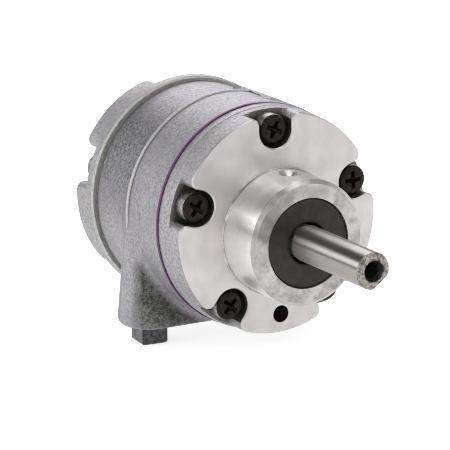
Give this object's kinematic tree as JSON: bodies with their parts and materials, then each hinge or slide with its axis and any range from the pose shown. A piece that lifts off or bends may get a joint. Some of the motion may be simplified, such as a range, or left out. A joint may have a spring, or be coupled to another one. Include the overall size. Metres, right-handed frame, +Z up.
{
  "type": "air vane motor",
  "caption": "Hub mounted air vane motor: a round cast housing with a turned hub, a flatted steel shaft, an eccentric rotor with sliding vanes and ports that open downwards.",
  "frame": {"origin": "on the shaft axis, in the plane of the machined mounting face at the root of the hub", "axes": "-Y along the shaft, away from the housing; +Z up, away from the ports; +X to the right as seen from the shaft end"},
  "size_m": [0.0646, 0.1064, 0.0657],
  "materials": {
    "machined_casting": "turned face and hub on a cast flank",
    "cast_housing": "sand cast, speckled grey",
    "cast_end_cover": "sand cast, speckled grey",
    "purple_gasket": "thin purple gasket",
    "black_screw": "black oxide",
    "bright_steel": "bright",
    "plated_plug": "dull zinc grey",
    "seal_rubber": "dark brown grey, satin",
    "black_rubber": "matt",
    "spring_steel": "plain",
    "turned_cover": "turned",
    "bearing_steel": "ground",
    "cage_brass": "plain",
    "ground_steel": "ground and polished",
    "rotor_iron": "ground",
    "vane_composite": "fibre composite"
  },
  "bodies": {
    "housing": {"drive_end_plate": "machined_casting", "hub": "machined_casting", "drive_gasket": "purple_gasket", "body": "cast_housing", "dead_gasket": "purple_gasket", "dead_end_plate": "cast_end_cover", "front_screws": "black_screw", "rear_screws": "black_screw", "front_dowels": "bright_steel", "rear_dowels": "bright_steel", "port_plug": "plated_plug", "shaft_seal": "seal_rubber", "seal_spring": "spring_steel", "bearing_spring": "spring_steel", "end_cap": "turned_cover", "end_cap_seal": "black_rubber", "end_cap_screws": "black_screw", "front_bearing_outer": "bearing_steel", "rear_bearing_outer": "bearing_steel", "front_bearing_shields": "bright_steel", "rear_bearing_shields": "bright_steel"},
    "rotor_assembly": {"shaft": "ground_steel", "rotor": "rotor_iron", "front_bearing_inner": "bearing_steel", "rear_bearing_inner": "bearing_steel"},
    "front_ball_set": {"front_bearing_balls": "bearing_steel", "front_bearing_cage": "cage_brass"},
    "rear_ball_set": {"rear_bearing_balls": "bearing_steel", "rear_bearing_cage": "cage_brass"},
    "vane_1": {"vane_1": "vane_composite"},
    "vane_2": {"vane_2": "vane_composite"},
    "vane_3": {"vane_3": "vane_composite"},
    "vane_4": {"vane_4": "vane_composite"}
  },
  "joints": [
    {"name": "rotor_spin", "type": "hinge", "parent": "housing", "child": "rotor_assembly", "pos_m": [0, 0, 0], "axis": [0, 1, 0], "continuous": true},
    {"name": "front_balls_roll", "type": "hinge", "parent": "housing", "child": "front_ball_set", "pos_m": [0, 0, 0], "axis": [0, 1, 0], "continuous": true},
    {"name": "rear_balls_roll", "type": "hinge", "parent": "housing", "child": "rear_ball_set", "pos_m": [0, 0, 0], "axis": [0, 1, 0], "continuous": true},
    {"name": "vane_1_slide", "type": "slide", "parent": "rotor_assembly", "child": "vane_1", "axis": [0.7071, 0, 0.7071], "range_m": [0, 0.0004]},
    {"name": "vane_2_slide", "type": "slide", "parent": "rotor_assembly", "child": "vane_2", "axis": [-0.7071, 0, 0.7071], "range_m": [0, 0.0004]},
    {"name": "vane_3_slide", "type": "slide", "parent": "rotor_assembly", "child": "vane_3", "axis": [-0.7071, 0, -0.7071], "range_m": [0, 0.0004]},
    {"name": "vane_4_slide", "type": "slide", "parent": "rotor_assembly", "child": "vane_4", "axis": [0.7071, 0, -0.7071], "range_m": [0, 0.0004]}
  ],
  "couplings": [
    {"joint": "front_balls_roll", "follows": "rotor_spin", "ratio": 0.375},
    {"joint": "rear_balls_roll", "follows": "rotor_spin", "ratio": 0.375}
  ]
}
